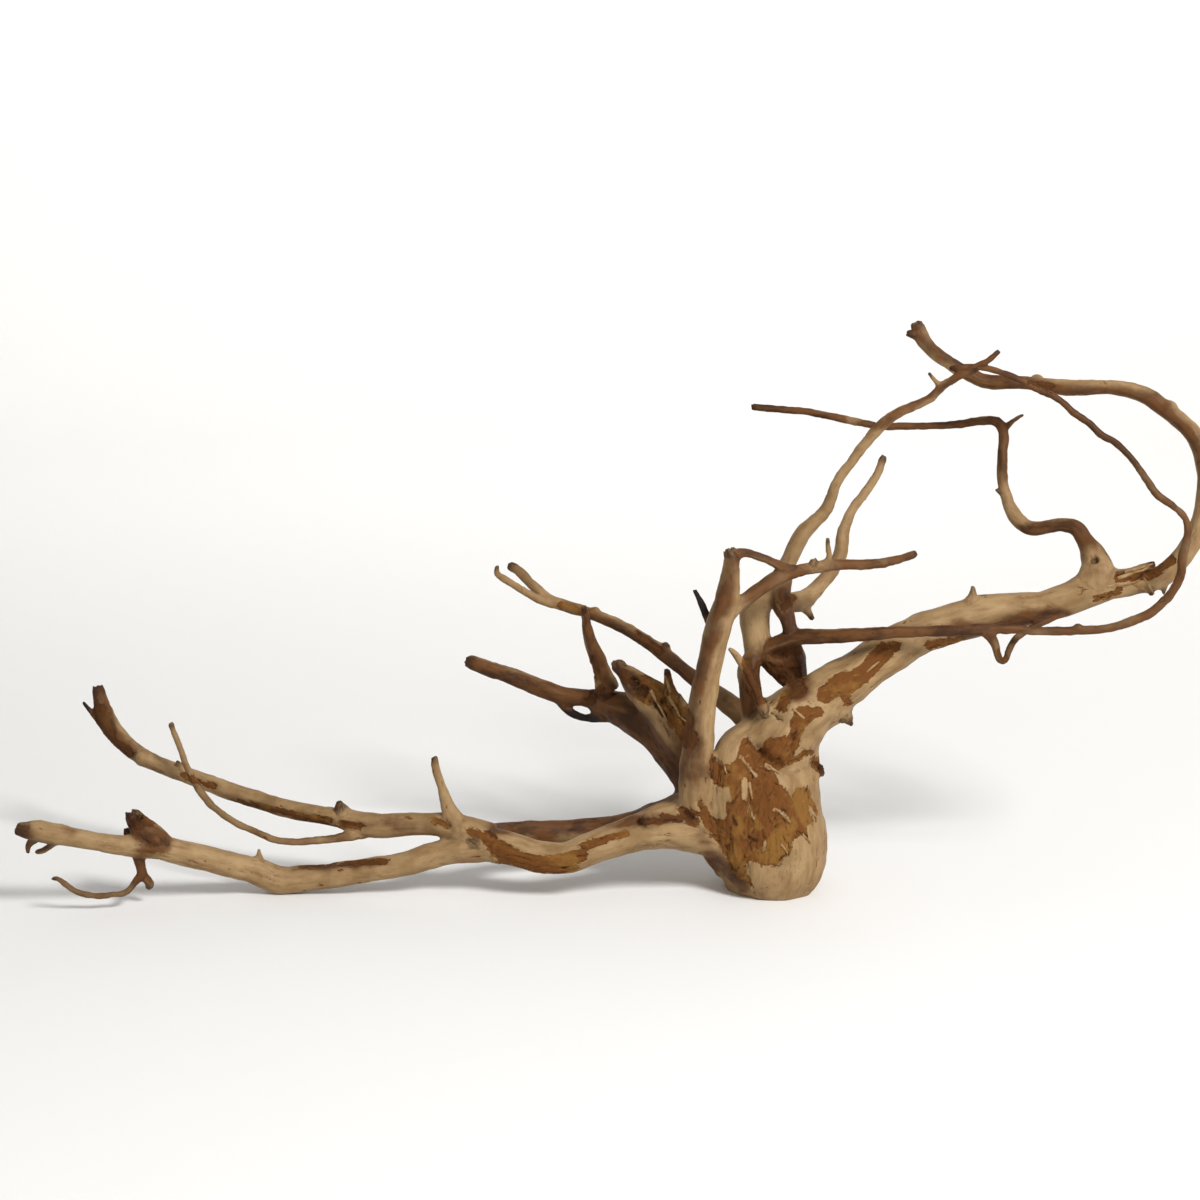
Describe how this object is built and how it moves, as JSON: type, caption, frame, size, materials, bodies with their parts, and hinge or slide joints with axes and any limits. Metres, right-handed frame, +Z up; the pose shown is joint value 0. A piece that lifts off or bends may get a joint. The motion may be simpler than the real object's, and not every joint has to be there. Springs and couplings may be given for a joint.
{
  "type": "piece of driftwood",
  "caption": "Peeled, flaked piece of root driftwood on a cut foot, with a stout trunk, crooked sprawling limbs, thorny stubs and a long hooked branch.",
  "frame": {"origin": "on the flat underside of the trunk's cut foot, near its middle", "axes": "+X along the length, towards the hooked branch; +Y away from the viewer; +Z up"},
  "size_m": [0.5864, 0.1373, 0.2857],
  "materials": {
    "wood": "dry, peeled and flaked root wood, matt"
  },
  "bodies": {
    "root": {"driftwood": "wood"}
  },
  "joints": []
}
